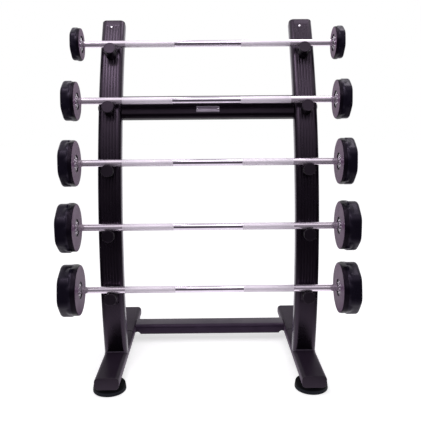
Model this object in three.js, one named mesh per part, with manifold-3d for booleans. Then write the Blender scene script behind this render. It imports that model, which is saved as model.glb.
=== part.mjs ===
// Barbell storage rack with five fixed barbells.
// Millimetres, +Z up. The front of the rack faces -Y, +X is to the right as seen from the front.
// The origin is on the floor, at the middle of the footprint.

import * as THREE from 'three';
import { mergeVertices } from 'three/addons/utils/BufferGeometryUtils.js';
import Module from 'manifold-3d';

const wasm = await Module();
wasm.setup();

// Fits and fineness
const seatGap = 0.3; // clearance between pieces that touch
const overrun = 6; // how far a cutter passes through the face that it cuts
const cornerSteps = 2; // half the number of flats on a rounded corner
const roundSides = 12; // sides of round pieces
const footSides = 20;
const faceSides = 28; // sides of the heads' inner faces
const fluteSteps = 11; // straight stretches of the curved uprights, along their grooves
const mergeDistance = 1e-4; // corners nearer than this are one corner

// Frame tube, used lying flat for the legs and the lower crossbeam
const tubeWidth = 90;
const tubeHeight = 47;
const tubeCorner = 16;
const tubeWall = 3;

// Base legs
const postSpacing = 752; // between the middles of the uprights, and of the legs
const legLength = 728; // with both end caps
const legSeamSetback = 432; // from the front of the leg to the joint line round it
const legSeamWidth = 4;
const legSeamDepth = 1.8;
const endCapThickness = 4;
const endCapPlug = 18;

// Feet
const footDiameter = 123;
const footHeight = 27;
const footBevel = 4;
const footTaper = 3;
const footSetback = 65; // from the end of the leg to the middle of the foot
const footBossDiameter = 62;
const footBossHeight = 3.5;

// Uprights: a tube bent to one long arc, measured along its front face from the top of the leg
const postWidth = 90;
const postDepth = 57;
const postCorner = 18;
const postWall = 3;
const postLength = 1360; // with the top cap
const postRadius = 1812;
const postBaseLean = THREE.MathUtils.degToRad(-9.6); // backward lean at the leg, negative is forward
const postSetback = 218; // from the front of the leg to the front face of the upright
const postCope = 12; // how far the upright reaches down over the leg's rounded shoulders

// Grooves along the front face of the uprights
const fluteCount = 5;
const flutePitch = 11;
const fluteWidth = 6;
const fluteFloorShare = 0.5; // a groove's flat bottom, of its width
const fluteDepth = 1.5;
const fluteBottom = 215;
const fluteSetback = 29; // from the top of the upright to the upper end of the grooves

// Top caps and their screws
const topCapThickness = 5;
const topCapPlug = 46;
const capScrewDrop = 35; // from the top of the upright to the screw
const capScrewShift = -6; // sideways from the upright's middle, on both uprights
const capScrewHeadDiameter = 10;
const capScrewHeadHeight = 3;
const capScrewShankDiameter = 5;
const capScrewLength = 14;
const domeEdgeShare = 0.35; // a domed head's upright edge, of its height
const domeRingShare = 0.75; // the ring half-way up a dome: its radius, of the head's
const domeRingHeightShare = 0.8; // and its height, of the head's

// Crossbeams
const lowerBeamSetback = 493; // from the front of the leg to the front of the beam
const upperBeamHeight = 979; // along the upright, to the middle of the beam
const beamEndPlate = 6;
const beamNotchRadius = 13;
const beamNotchInset = 8; // from the end of the beam to the middle of the notch
const beamNotchRise = 3;

// Frame bolts, one through each joint of an upright or leg with a crossbeam
const boltDiameter = 12;
const boltHeadDiameter = 24;
const boltHeadHeight = 3;
const boltReach = 12; // past the beam's end plate

// Badge plate on the upper crossbeam, left bare
const badgeWidth = 89;
const badgeHeight = 24;
const badgeThickness = 1.5;
const badgeDrop = 15; // below the middle of the beam
const rivetInset = 4.5;
const rivetDiameter = 6;
const rivetHeight = 1.6;
const rivetShankDiameter = 3;
const rivetLength = 6;

// Pegs that carry the barbells
const tierCount = 5;
const firstTier = 277.5; // along the upright, to the lowest bar's middle
const lastTierSetback = 133.7; // from the top of the upright to the highest bar's middle
const pegWaistDiameter = 36;
const pegBaseDiameter = 42;
const pegBaseThickness = 6;
const pegSaddleStart = 17; // the narrow middle that the bar lies on, measured from the upright's face
const pegSaddleEnd = 33;
const pegLipDiameter = 47;
const pegLipThickness = 8;
const pegLipBevel = 1.5;
const pegLength = 48.6; // from the upright's face to the face of the lip
const pegStudDiameter = 12;
const pegStudLength = 12;

// Barbells
const barDiameter = 26;
const barStandoff = 25.2; // from the upright's face to the middle of the bar
const headStandoff = 114; // from the middle of an upright to the head beside it
const gripStart = 170; // from a head to its knurled grip
const gripLength = 191;
const gripRise = 0.2;
const barEndGap = 2;
const headSides = 7;
const headCornerShare = 0.45; // the radius of a head's rounded corners, of the head's radius
const headCornerSteps = 2; // flats on each rounded corner
const layerShare = 0.66; // of the head's thickness, taken by each of its two layers, which overlap
const faceConeShare = 0.2; // of the head's thickness, taken by the cone to the inner face
const headBevelShare = 0.1; // of the head's radius
const coverWall = 12;
const coverFace = 9;
const hubRadius = 32.5;
const hubRecess = 3;
const hubFlange = 8;

// One entry for each barbell, from the highest tier down. A head's radius is a share of the tiers'
// pitch, its thickness a share of its radius, and the barbell's sideways shift a share of its bar's
// diameter.
const barbells = [
  { radiusShare: 0.2694, thicknessShare: 0.563, shiftShare: 0.077, roll: -22.4 },
  { radiusShare: 0.3221, thicknessShare: 0.641, shiftShare: -0.173, roll: -21.4 },
  { radiusShare: 0.3748, thicknessShare: 0.596, shiftShare: -0.096, roll: -19.2 },
  { radiusShare: 0.3984, thicknessShare: 0.688, shiftShare: -0.115, roll: -14.4 },
  { radiusShare: 0.4233, thicknessShare: 0.687, shiftShare: 0, roll: -25.5 },
];

// Places worked out from the sizes
const legBottom = footHeight + footBossHeight;
const legTop = legBottom + tubeHeight;
const legMiddle = legBottom + tubeHeight / 2;
const legFront = -legLength / 2;
const postX = postSpacing / 2;
const postTubeEnd = postLength - topCapThickness;
const postStretch = (postLength - fluteSetback - fluteBottom) / fluteSteps;
const stepsBelow = Math.ceil((fluteBottom + tubeHeight) / postStretch);
const tierPitch = (postLength - lastTierSetback - firstTier) / (tierCount - 1);
const barExposed = postSpacing + 2 * headStandoff; // between the two heads
const beamLength = postSpacing - tubeWidth - 2 * seatGap;
const lowerBeamY = legFront + lowerBeamSetback + tubeWidth / 2;
const barRadius = barDiameter / 2;
const barDrop = barRadius + pegWaistDiameter / 2 + seatGap; // from the bar's middle to the peg's
const sides = { left: -1, right: 1 };

// Finishes
function finish(color, roughness, metalness) {
  return new THREE.MeshStandardMaterial({ color, roughness, metalness });
}

const frameBlack = finish(0x1c1a1f, 0.45, 0.2);
const capBlack = finish(0x18161a, 0.5, 0);
const pegBlack = finish(0x1b191d, 0.5, 0);
const footBlack = finish(0x0e0d10, 0.7, 0);
const headBlack = finish(0x141217, 0.35, 0);
const ironGrey = finish(0x2c292f, 0.55, 0.6);
const chrome = finish(0xe6e3ea, 0.12, 1);
const plateSilver = finish(0xd8d4dc, 0.3, 1);

const rack = new THREE.Group();

function addPiece(name, geometry, material) {
  const mesh = new THREE.Mesh(geometry, material);
  mesh.name = name;
  rack.add(mesh);
  return mesh;
}

// Solids

function toSolid(geometry) {
  const bare = geometry.clone();
  for (const attribute of Object.keys(bare.attributes)) {
    if (attribute !== 'position') bare.deleteAttribute(attribute);
  }
  const merged = mergeVertices(bare, mergeDistance);
  const corners = merged.index.array;
  const triangles = [];
  for (let start = 0; start < corners.length; start += 3) {
    const [a, b, c] = corners.slice(start, start + 3);
    if (a !== b && b !== c && c !== a) triangles.push(a, b, c);
  }
  return new wasm.Manifold(
    new wasm.Mesh({
      numProp: 3,
      vertProperties: new Float32Array(merged.attributes.position.array),
      triVerts: new Uint32Array(triangles),
    }),
  );
}

function toGeometry(solid) {
  const mesh = solid.getMesh();
  const geometry = new THREE.BufferGeometry();
  geometry.setAttribute('position', new THREE.BufferAttribute(new Float32Array(mesh.vertProperties), 3));
  geometry.setIndex(new THREE.BufferAttribute(new Uint32Array(mesh.triVerts), 1));
  geometry.computeVertexNormals();
  return geometry;
}

function cut(body, ...tools) {
  return tools.reduce((solid, tool) => solid.subtract(tool), body);
}

function join(...solids) {
  return solids.reduce((whole, solid) => whole.add(solid));
}

// A rounded rectangle centred on the origin
function roundedOutline(width, height, corner) {
  const x = width / 2 - corner;
  const y = height / 2 - corner;
  const outline = new THREE.Shape();
  outline.absarc(x, y, corner, 0, Math.PI / 2);
  outline.absarc(-x, y, corner, Math.PI / 2, Math.PI);
  outline.absarc(-x, -y, corner, Math.PI, 1.5 * Math.PI);
  outline.absarc(x, -y, corner, 1.5 * Math.PI, 2 * Math.PI);
  outline.closePath();
  return outline;
}

// A prism from z = 0 up to its length
function prism(outline, length) {
  return new THREE.ExtrudeGeometry(outline, {
    depth: length,
    bevelEnabled: false,
    curveSegments: cornerSteps,
  });
}

// A closed round piece about +Z from [radius, height] pairs, which start and end on the axis, bottom first
function turned(profile, segments = roundSides) {
  const points = profile.map(([radius, height]) => new THREE.Vector2(radius, height));
  const geometry = new THREE.LatheGeometry(points, segments);
  geometry.rotateX(Math.PI / 2);
  return toGeometry(toSolid(geometry));
}

function rod(radius, from, to, segments = roundSides) {
  return turned([[0, from], [radius, from], [radius, to], [0, to]], segments);
}

// A rod along X
function crossRod(radius, from, to, y, z) {
  const geometry = rod(radius, from, to);
  geometry.rotateY(Math.PI / 2);
  geometry.translate(0, y, z);
  return geometry;
}

// The uprights' arc

// A point and directions on the upright, at a distance along its front face
function postFrame(along) {
  const lean = postBaseLean + along / postRadius;
  return {
    lean,
    y: legFront + postSetback - postRadius * (Math.cos(lean) - Math.cos(postBaseLean)),
    z: legTop + postRadius * (Math.sin(lean) - Math.sin(postBaseLean)),
  };
}

// A place in front of the upright's face
function postPoint(along, forward) {
  const { lean, y, z } = postFrame(along);
  return { lean, y: y - forward * Math.cos(lean), z: z + forward * Math.sin(lean) };
}

class PostArc extends THREE.Curve {
  constructor(from, to, forward) {
    super();
    this.from = from;
    this.to = to;
    this.forward = forward;
  }

  getPoint(share, target = new THREE.Vector3()) {
    const { y, z } = postPoint(this.from + (this.to - this.from) * share, this.forward);
    return target.set(0, y, z);
  }
}

// An outline swept along the arc by whole stretches, counted from the lower end of the grooves;
// the outline's +Y points to the front
function sweep(outline, firstStep, lastStep, forward) {
  const from = fluteBottom + firstStep * postStretch;
  const to = fluteBottom + lastStep * postStretch;
  return new THREE.ExtrudeGeometry(outline, {
    steps: lastStep - firstStep,
    extrudePath: new PostArc(from, to, forward),
    curveSegments: cornerSteps,
  });
}

// Moves a piece modelled about +Z so that +Z points straight out of the upright's face
function faceOut(geometry, x, along, forward = 0) {
  const { lean, y, z } = postPoint(along, forward);
  geometry.rotateX(Math.PI / 2 - lean);
  geometry.translate(x, y, z);
  return geometry;
}

// Moves a piece modelled about +Z so that +Z runs up the upright
function standOn(geometry, x, along, forward) {
  const { lean, y, z } = postPoint(along, forward);
  geometry.rotateX(-lean);
  geometry.translate(x, y, z);
  return geometry;
}

// Base legs

const outerTube = roundedOutline(tubeWidth, tubeHeight, tubeCorner);
const innerTube = roundedOutline(
  tubeWidth - 2 * tubeWall,
  tubeHeight - 2 * tubeWall,
  tubeCorner - tubeWall,
);
const plugTube = roundedOutline(
  tubeWidth - 2 * tubeWall - 2 * seatGap,
  tubeHeight - 2 * tubeWall - 2 * seatGap,
  tubeCorner - tubeWall - seatGap,
);

// A prism that runs backward from a place, at leg height
function alongLeg(outline, x, from, length) {
  const geometry = prism(outline, length);
  geometry.rotateX(-Math.PI / 2);
  geometry.translate(x, from, legMiddle);
  return geometry;
}

function makeLeg(side) {
  const x = sides[side] * postX;
  const front = legFront + endCapThickness;
  const length = legLength - 2 * endCapThickness;
  const seamFrom = legFront + legSeamSetback;
  const seamCore = roundedOutline(
    tubeWidth - 2 * legSeamDepth,
    tubeHeight - 2 * legSeamDepth,
    tubeCorner - legSeamDepth,
  );
  const seamBlank = roundedOutline(tubeWidth + 2 * overrun, tubeHeight + 2 * overrun, tubeCorner);
  const seam = cut(
    toSolid(alongLeg(seamBlank, x, seamFrom, legSeamWidth)),
    toSolid(alongLeg(seamCore, x, seamFrom - overrun, legSeamWidth + 2 * overrun)),
  );
  const reach = tubeWidth / 2 + overrun;
  const body = cut(
    toSolid(alongLeg(outerTube, x, front, length)),
    toSolid(alongLeg(innerTube, x, front - overrun, length + 2 * overrun)),
    seam,
    toSolid(crossRod(boltDiameter / 2 + seatGap, x - reach, x + reach, lowerBeamY, legMiddle)),
  );
  addPiece(`base_leg_${side}`, toGeometry(body), frameBlack);
}

function makeEndCap(side, end) {
  const plateThickness = endCapThickness - seatGap;
  const plate = toSolid(alongLeg(outerTube, 0, 0, plateThickness));
  const plug = toSolid(alongLeg(plugTube, 0, plateThickness / 2, endCapPlug));
  const geometry = toGeometry(join(plate, plug));
  geometry.translate(0, legFront, 0);
  if (end === 'rear') geometry.rotateZ(Math.PI);
  geometry.translate(sides[side] * postX, 0, 0);
  addPiece(`leg_cap_${end}_${side}`, geometry, capBlack);
}

function makeFoot(side, end) {
  const direction = end === 'front' ? 1 : -1;
  const radius = footDiameter / 2;
  const geometry = turned(
    [
      [0, 0],
      [radius - footBevel, 0],
      [radius, footBevel],
      [radius - footTaper, footHeight - footBevel],
      [radius - footTaper - footBevel, footHeight],
      [footBossDiameter / 2, footHeight],
      [footBossDiameter / 2, legBottom - seatGap],
      [0, legBottom - seatGap],
    ],
    footSides,
  );
  const foot = addPiece(`foot_${end}_${side}`, geometry, footBlack);
  foot.position.set(sides[side] * postX, direction * (legFront + footSetback), 0);
}

// Uprights

const outerPost = roundedOutline(postWidth, postDepth, postCorner);
const innerPost = roundedOutline(postWidth - 2 * postWall, postDepth - 2 * postWall, postCorner - postWall);
const plugPost = roundedOutline(
  postWidth - 2 * postWall - 2 * seatGap,
  postDepth - 2 * postWall - 2 * seatGap,
  postCorner - postWall - seatGap,
);

function fluteCutter(index) {
  const middle = (index - (fluteCount - 1) / 2) * flutePitch;
  const outline = new THREE.Shape();
  const halfMouth = fluteWidth / 2;
  const halfFloor = halfMouth * fluteFloorShare;
  outline.moveTo(middle - halfMouth, 0);
  outline.lineTo(middle - halfFloor, -fluteDepth);
  outline.lineTo(middle + halfFloor, -fluteDepth);
  outline.lineTo(middle + halfMouth, 0);
  outline.lineTo(middle + halfMouth, overrun);
  outline.lineTo(middle - halfMouth, overrun);
  outline.closePath();
  return toSolid(sweep(outline, 0, fluteSteps, 0));
}

function tierHeight(tier) {
  return firstTier + (tierCount - tier) * tierPitch;
}

function makePost(side) {
  const x = sides[side] * postX;
  const middle = -postDepth / 2;
  const above = new THREE.BoxGeometry(2 * postWidth, 2 * postDepth, 2 * postWidth);
  above.translate(0, 0, postWidth);
  const tube = cut(
    toSolid(sweep(outerPost, -stepsBelow, fluteSteps + 1, middle)),
    toSolid(sweep(innerPost, -stepsBelow - 1, fluteSteps + 2, middle)),
    toSolid(standOn(above, 0, postTubeEnd, middle)),
  );
  const flutes = Array.from({ length: fluteCount }, (_, index) => fluteCutter(index));
  const studHoles = Array.from({ length: tierCount }, (_, index) => {
    const hole = rod(pegStudDiameter / 2 + seatGap, -pegStudLength, overrun);
    return toSolid(faceOut(hole, 0, tierHeight(index + 1) - barDrop));
  });
  const screwHole = faceOut(
    rod(capScrewShankDiameter / 2 + seatGap, -capScrewLength, overrun),
    capScrewShift,
    postLength - capScrewDrop,
  );
  const beam = postPoint(upperBeamHeight, middle);
  const reach = postWidth / 2 + overrun;
  const boltHole = crossRod(boltDiameter / 2 + seatGap, -reach, reach, beam.y, beam.z);
  const groundDepth = 2 * postDepth + stepsBelow * postStretch;
  const ground = new THREE.BoxGeometry(2 * postWidth, legLength, groundDepth);
  ground.translate(0, 0, legTop - postCope - groundDepth / 2);
  const leg = prism(
    roundedOutline(tubeWidth + 2 * seatGap, tubeHeight + 2 * seatGap, tubeCorner + seatGap),
    legLength,
  );
  leg.rotateX(-Math.PI / 2);
  leg.translate(0, legFront, legMiddle);
  const body = cut(tube, ...flutes, ...studHoles, ...[screwHole, boltHole, ground, leg].map(toSolid));
  const geometry = toGeometry(body);
  geometry.translate(x, 0, 0);
  addPiece(`upright_${side}`, geometry, frameBlack);
}

function makeTopCap(side) {
  const x = sides[side] * postX;
  const middle = -postDepth / 2;
  const plate = prism(outerPost, topCapThickness - seatGap);
  plate.translate(0, 0, seatGap);
  const reach = new THREE.BoxGeometry(postWidth, postDepth, topCapPlug + topCapThickness / 2);
  reach.translate(0, 0, topCapThickness / 4 - topCapPlug / 2);
  const plug = toSolid(sweep(plugPost, fluteSteps - 1, fluteSteps + 1, middle));
  const ends = [plate, reach].map((piece) => toSolid(standOn(piece, 0, postTubeEnd, middle)));
  const hole = rod(capScrewShankDiameter / 2 + seatGap, -capScrewLength - overrun, overrun);
  const body = cut(
    join(ends[0], plug.intersect(ends[1])),
    toSolid(faceOut(hole, capScrewShift, postLength - capScrewDrop)),
  );
  const geometry = toGeometry(body);
  geometry.translate(x, 0, 0);
  addPiece(`top_cap_${side}`, geometry, capBlack);
}

// A domed head on a shank, with its head's underside at z = 0
function domedFastener(headRadius, headHeight, shankRadius, shankLength) {
  return turned([
    [0, -shankLength],
    [shankRadius, -shankLength],
    [shankRadius, 0],
    [headRadius, 0],
    [headRadius, headHeight * domeEdgeShare],
    [headRadius * domeRingShare, headHeight * domeRingHeightShare],
    [0, headHeight],
  ]);
}

function makeCapScrew(side) {
  const screw = domedFastener(
    capScrewHeadDiameter / 2,
    capScrewHeadHeight,
    capScrewShankDiameter / 2,
    capScrewLength,
  );
  const x = sides[side] * postX + capScrewShift;
  addPiece(`cap_screw_${side}`, faceOut(screw, x, postLength - capScrewDrop, seatGap), chrome);
}

// Crossbeams

// A closed beam about +Z, with a bolt hole in each end
function beamSolid(outer, inner) {
  const hollow = beamLength - 2 * beamEndPlate;
  const tube = prism(outer, beamLength);
  tube.translate(0, 0, -beamLength / 2);
  const space = prism(inner, hollow);
  space.translate(0, 0, -hollow / 2);
  const hole = rod(boltDiameter / 2 + seatGap, -beamLength / 2 - overrun, beamLength / 2 + overrun);
  return cut(toSolid(tube), toSolid(space), toSolid(hole));
}

// Turns a beam from +Z to +X, with its width along Y
function layAlongX(geometry) {
  geometry.rotateZ(Math.PI / 2);
  geometry.rotateY(Math.PI / 2);
  return geometry;
}

function makeLowerBeam() {
  const geometry = layAlongX(toGeometry(beamSolid(outerTube, innerTube)));
  geometry.translate(0, lowerBeamY, legMiddle);
  const notches = Object.values(sides).map((direction) => {
    const notch = rod(beamNotchRadius, -tubeWidth / 2 - overrun, tubeWidth / 2 + overrun);
    notch.rotateX(Math.PI / 2);
    notch.translate(direction * (beamLength / 2 - beamNotchInset), lowerBeamY, legBottom + beamNotchRise);
    return toSolid(notch);
  });
  addPiece('crossbeam_lower', toGeometry(cut(toSolid(geometry), ...notches)), frameBlack);
}

function makeUpperBeam() {
  const { lean, y, z } = postPoint(upperBeamHeight, -postDepth / 2);
  const geometry = layAlongX(toGeometry(beamSolid(outerTube, innerTube)));
  geometry.rotateX(Math.PI / 2 - lean);
  geometry.translate(0, y, z);
  const beamFace = tubeHeight / 2 - postDepth / 2;
  const holes = Object.values(sides).map((direction) => {
    const hole = rod(rivetShankDiameter / 2 + seatGap, -rivetLength, overrun);
    const x = direction * (badgeWidth / 2 - rivetInset);
    return toSolid(faceOutOfBeam(hole, x, -badgeDrop, beamFace));
  });
  addPiece('crossbeam_upper', toGeometry(cut(toSolid(geometry), ...holes)), frameBlack);
}

// Moves a piece modelled about +Z so that +Z points straight out of the upper beam's face
function faceOutOfBeam(geometry, x, up, forward) {
  const { lean, y, z } = postPoint(upperBeamHeight, 0);
  geometry.translate(x, up, forward);
  geometry.rotateX(Math.PI / 2 - lean);
  geometry.translate(0, y, z);
  return geometry;
}

function makeFrameBolt(name, direction, y, z) {
  const length = tubeWidth + seatGap + beamEndPlate + boltReach;
  const bolt = domedFastener(boltHeadDiameter / 2, boltHeadHeight, boltDiameter / 2, length);
  bolt.rotateY((direction * Math.PI) / 2);
  bolt.translate(direction * (postX + tubeWidth / 2 + seatGap), y, z);
  addPiece(name, bolt, ironGrey);
}

// Badge plate

const badgeFace = tubeHeight / 2 - postDepth / 2 + seatGap;

function makeBadge() {
  const plate = new THREE.BoxGeometry(badgeWidth, badgeHeight, badgeThickness);
  plate.translate(0, 0, badgeThickness / 2);
  const holes = Object.values(sides).map((direction) => {
    const hole = rod(rivetShankDiameter / 2 + seatGap, -overrun, overrun);
    hole.translate(direction * (badgeWidth / 2 - rivetInset), 0, 0);
    return toSolid(hole);
  });
  const geometry = toGeometry(cut(toSolid(plate), ...holes));
  addPiece('badge_plate', faceOutOfBeam(geometry, 0, -badgeDrop, badgeFace), plateSilver);
}

function makeBadgeRivet(side) {
  const rivet = domedFastener(rivetDiameter / 2, rivetHeight, rivetShankDiameter / 2, rivetLength);
  const x = sides[side] * (badgeWidth / 2 - rivetInset);
  const forward = badgeFace + badgeThickness + seatGap;
  addPiece(`badge_rivet_${side}`, faceOutOfBeam(rivet, x, -badgeDrop, forward), chrome);
}

// Pegs

function makePeg(tier, side) {
  const waist = pegWaistDiameter / 2;
  const lip = pegLipDiameter / 2;
  const back = pegLength - pegLipThickness;
  const peg = turned([
    [0, -pegStudLength],
    [pegStudDiameter / 2, -pegStudLength],
    [pegStudDiameter / 2, seatGap],
    [pegBaseDiameter / 2, seatGap],
    [pegBaseDiameter / 2, pegBaseThickness],
    [waist, pegSaddleStart],
    [waist, pegSaddleEnd],
    [lip, back],
    [lip, pegLength - pegLipBevel],
    [lip - pegLipBevel, pegLength],
    [0, pegLength],
  ]);
  addPiece(`peg_${tier}_${side}`, faceOut(peg, sides[side] * postX, tierHeight(tier) - barDrop), pegBlack);
}

// Barbells

// From the axis to the flat sides of a head
function flatRadius(radius) {
  return radius * (headCornerShare + (1 - headCornerShare) * Math.cos(Math.PI / headSides));
}

// A polygon with rounded corners, the first of them at the turn
function polygonOutline(radius, turn) {
  const corner = radius * headCornerShare;
  const step = (2 * Math.PI) / headSides;
  const points = [];
  for (let side = 0; side < headSides; side += 1) {
    const middle = turn + side * step;
    for (let flat = 0; flat <= headCornerSteps; flat += 1) {
      const angle = middle - step / 2 + (flat / headCornerSteps) * step;
      const x = (radius - corner) * Math.cos(middle) + corner * Math.cos(angle);
      const y = (radius - corner) * Math.sin(middle) + corner * Math.sin(angle);
      points.push(new THREE.Vector2(x, y));
    }
  }
  return new THREE.Shape(points);
}

// A seven-sided layer from z = from to z = to, with bevelled edges
function polygonLayer(radius, turn, from, to) {
  const bevel = radius * headBevelShare;
  const geometry = new THREE.ExtrudeGeometry(polygonOutline(radius, turn), {
    depth: to - from - 2 * bevel,
    bevelThickness: bevel,
    bevelSize: bevel,
    bevelOffset: -bevel,
    bevelSegments: 1,
  });
  geometry.translate(0, 0, from + bevel);
  return toSolid(geometry);
}

// The head's axis is +Z, from its inner face at z = 0 outward
function headCover({ radius, thickness }) {
  const cone = thickness * faceConeShare;
  const reach = thickness * layerShare;
  const flat = flatRadius(radius);
  const face = turned([[0, 0], [flat, 0], [radius, cone], [radius, reach], [0, reach]], faceSides);
  const opening = rod(hubRadius, -overrun, thickness / 2);
  const space = rod(flat - coverWall, coverFace, thickness - coverFace);
  return cut(
    join(
      polygonLayer(radius, Math.PI / headSides, -reach, reach).intersect(toSolid(face)),
      polygonLayer(radius, 0, thickness - reach, thickness),
    ),
    toSolid(opening),
    toSolid(space),
  );
}

function headCore({ radius, thickness }) {
  const coreRadius = flatRadius(radius) - coverWall - seatGap;
  const from = coverFace + seatGap;
  const to = thickness - coverFace - seatGap;
  const body = join(
    toSolid(rod(coreRadius, from, to)),
    toSolid(rod(hubRadius - seatGap, hubRecess, from + hubFlange / 2)),
  );
  const bore = (barRadius + seatGap) / Math.cos(Math.PI / roundSides);
  return cut(body, toSolid(rod(bore, -overrun, thickness + overrun)));
}

// A head's own sizes, and the barbell's sideways shift
function barbellSizes({ radiusShare, thicknessShare, shiftShare }) {
  const radius = tierPitch * radiusShare;
  return { radius, thickness: radius * thicknessShare, shift: barDiameter * shiftShare };
}

function makeBar({ thickness }) {
  const half = barExposed / 2;
  const end = half + thickness - coverFace - barEndGap;
  const outer = half - gripStart;
  const inner = outer - gripLength;
  const grip = barRadius + gripRise;
  const rightHalf = [
    [barRadius, inner],
    [grip, inner + gripRise],
    [grip, outer - gripRise],
    [barRadius, outer],
    [barRadius, end],
    [0, end],
  ];
  const leftHalf = rightHalf.map(([radius, height]) => [radius, -height]).reverse();
  return turned([...leftHalf, ...rightHalf]);
}

function makeBarbell(tier) {
  const entry = barbells[tier - 1];
  const sizes = barbellSizes(entry);
  const { lean, y, z } = postPoint(tierHeight(tier), barStandoff);
  const bar = makeBar(sizes);
  bar.rotateY(Math.PI / 2);
  bar.rotateX(-lean);
  bar.translate(sizes.shift, y, z);
  addPiece(`barbell_${tier}_bar`, bar, chrome);
  for (const [side, direction] of Object.entries(sides)) {
    for (const [part, solid, material] of [
      ['cover', headCover(sizes), headBlack],
      ['core', headCore(sizes), ironGrey],
    ]) {
      const geometry = toGeometry(solid);
      geometry.translate(0, 0, barExposed / 2);
      if (direction < 0) geometry.rotateZ(Math.PI);
      geometry.rotateY((direction * Math.PI) / 2);
      geometry.rotateX(THREE.MathUtils.degToRad(entry.roll));
      geometry.translate(sizes.shift, y, z);
      addPiece(`barbell_${tier}_${part}_${side}`, geometry, material);
    }
  }
}

// The whole rack

for (const side of Object.keys(sides)) {
  makeLeg(side);
  for (const end of ['front', 'rear']) {
    makeEndCap(side, end);
    makeFoot(side, end);
  }
  makePost(side);
  makeTopCap(side);
  makeCapScrew(side);
}

makeLowerBeam();
makeUpperBeam();
makeBadge();

const upperJoint = postPoint(upperBeamHeight, -postDepth / 2);
for (const [side, direction] of Object.entries(sides)) {
  makeFrameBolt(`frame_bolt_upper_${side}`, direction, upperJoint.y, upperJoint.z);
  makeFrameBolt(`frame_bolt_lower_${side}`, direction, lowerBeamY, legMiddle);
  makeBadgeRivet(side);
}

for (let tier = 1; tier <= tierCount; tier += 1) {
  for (const side of Object.keys(sides)) makePeg(tier, side);
  makeBarbell(tier);
}

export default rack;
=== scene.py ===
import math

import bmesh
import bpy
from mathutils import Matrix, Vector


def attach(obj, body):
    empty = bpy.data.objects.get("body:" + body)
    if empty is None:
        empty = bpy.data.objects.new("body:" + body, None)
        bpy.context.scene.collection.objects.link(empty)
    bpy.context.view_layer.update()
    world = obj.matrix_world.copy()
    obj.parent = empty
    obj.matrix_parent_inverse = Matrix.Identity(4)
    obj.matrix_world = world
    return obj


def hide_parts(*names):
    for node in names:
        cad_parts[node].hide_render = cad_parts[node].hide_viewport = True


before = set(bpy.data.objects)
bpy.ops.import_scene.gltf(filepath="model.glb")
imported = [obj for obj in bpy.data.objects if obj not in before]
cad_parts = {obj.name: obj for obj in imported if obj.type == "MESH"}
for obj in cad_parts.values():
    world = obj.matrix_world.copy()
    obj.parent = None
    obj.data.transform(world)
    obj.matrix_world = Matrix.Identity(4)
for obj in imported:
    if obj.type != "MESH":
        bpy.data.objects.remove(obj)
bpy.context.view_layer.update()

# Lengths are in millimetres, and turn to metres where a mesh or a place is made. The stage at the
# end is in metres.
MM = 0.001
SIDES = {"left": -1, "right": 1}
# The gap between two pieces that sit together
SEAT = 0.3

# Frame tube
TUBE_WIDTH = 90
TUBE_HEIGHT = 47
TUBE_CORNER = 16
TUBE_EDGE = 0.6
CORNER_STEPS = 9
SMALLEST_CORNER = 0.5

# Legs
POST_SPACING = 752
LEG_LENGTH = 728
LEG_FRONT = -LEG_LENGTH / 2
LEG_BOTTOM = 30.5
LEG_TOP = LEG_BOTTOM + TUBE_HEIGHT
LEG_MIDDLE = LEG_BOTTOM + TUBE_HEIGHT / 2
SEAM_SETBACK = 432
SEAM_WIDTH = 4
SEAM_DEPTH = 1.8
SEAM_LIP = 0.3
SEAM_LIP_SHARE = 0.8
# Across the leg from its middle line: the seam starts at the first and is whole from the second.
SEAM_REACH = (14, 22)
LEG_FRONT_ROWS = 12
LEG_REAR_ROWS = 8
END_CAP = 4
CAP_EDGE = 1.6
CAP_REAR_EDGE = 0.3
CAP_EDGE_STEPS = 6

# Feet
FOOT_RADIUS = 61.5
FOOT_HEIGHT = 27
FOOT_SETBACK = 65
FOOT_BOSS_RADIUS = 31
FOOT_FLOOR_EDGE = 4
FOOT_FLOOR_RING = 2
FOOT_TOP_EDGE = 4.5
FOOT_TOP_INSET = 2.5
FOOT_TAPER = 1.2
FOOT_TAPER_HEIGHT = 15
FOOT_FILLET = 1.2
FOOT_FILLET_RISE = 0.2
FOOT_SHOULDER = 6
# The bands up the rim that take the lighter rubber, a painted highlight
FOOT_HIGHLIGHT_BANDS = 7

# Uprights
POST_WIDTH = 90
POST_DEPTH = 57
POST_CORNER = 18
POST_LENGTH = 1360
POST_RADIUS = 1812
POST_BASE_LEAN = math.radians(-9.6)
POST_SETBACK = 218
POST_ROWS = 150
POST_FIRST_ROW = 40
POST_FOOT_SHARES = (0.0, 0.25, 0.5, 0.75)
SADDLE_DEPTH = 14
TOP_CAP = 5
TOP_CAP_EDGE = 1.8
TOP_CAP_REAR_EDGE = 0.4
TUBE_END = POST_LENGTH - TOP_CAP
FLUTE_COUNT = 5
FLUTE_PITCH = 11
FLUTE_WIDTH = 6
FLUTE_DEPTH = 1.5
FLUTE_BOTTOM = 215
FLUTE_TOP = 1331
FLUTE_RUNOUT = 5
FLUTE_RUNOUT_ROWS = 4
FLUTE_STEPS = 8
FLUTE_CURVE = 2.5
WELD_RADIUS = 2.0
WELD_SIDES = 10
WELD_RIPPLE = 0.25
WELD_RIPPLE_TURN = 2.1
SCREW_DROP = 35
SCREW_SHIFT = -6
SCREW_RADIUS = 5
SCREW_DOME = 2.5
SCREW_EDGE = 0.4
SCREW_STEP = 0.1

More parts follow.
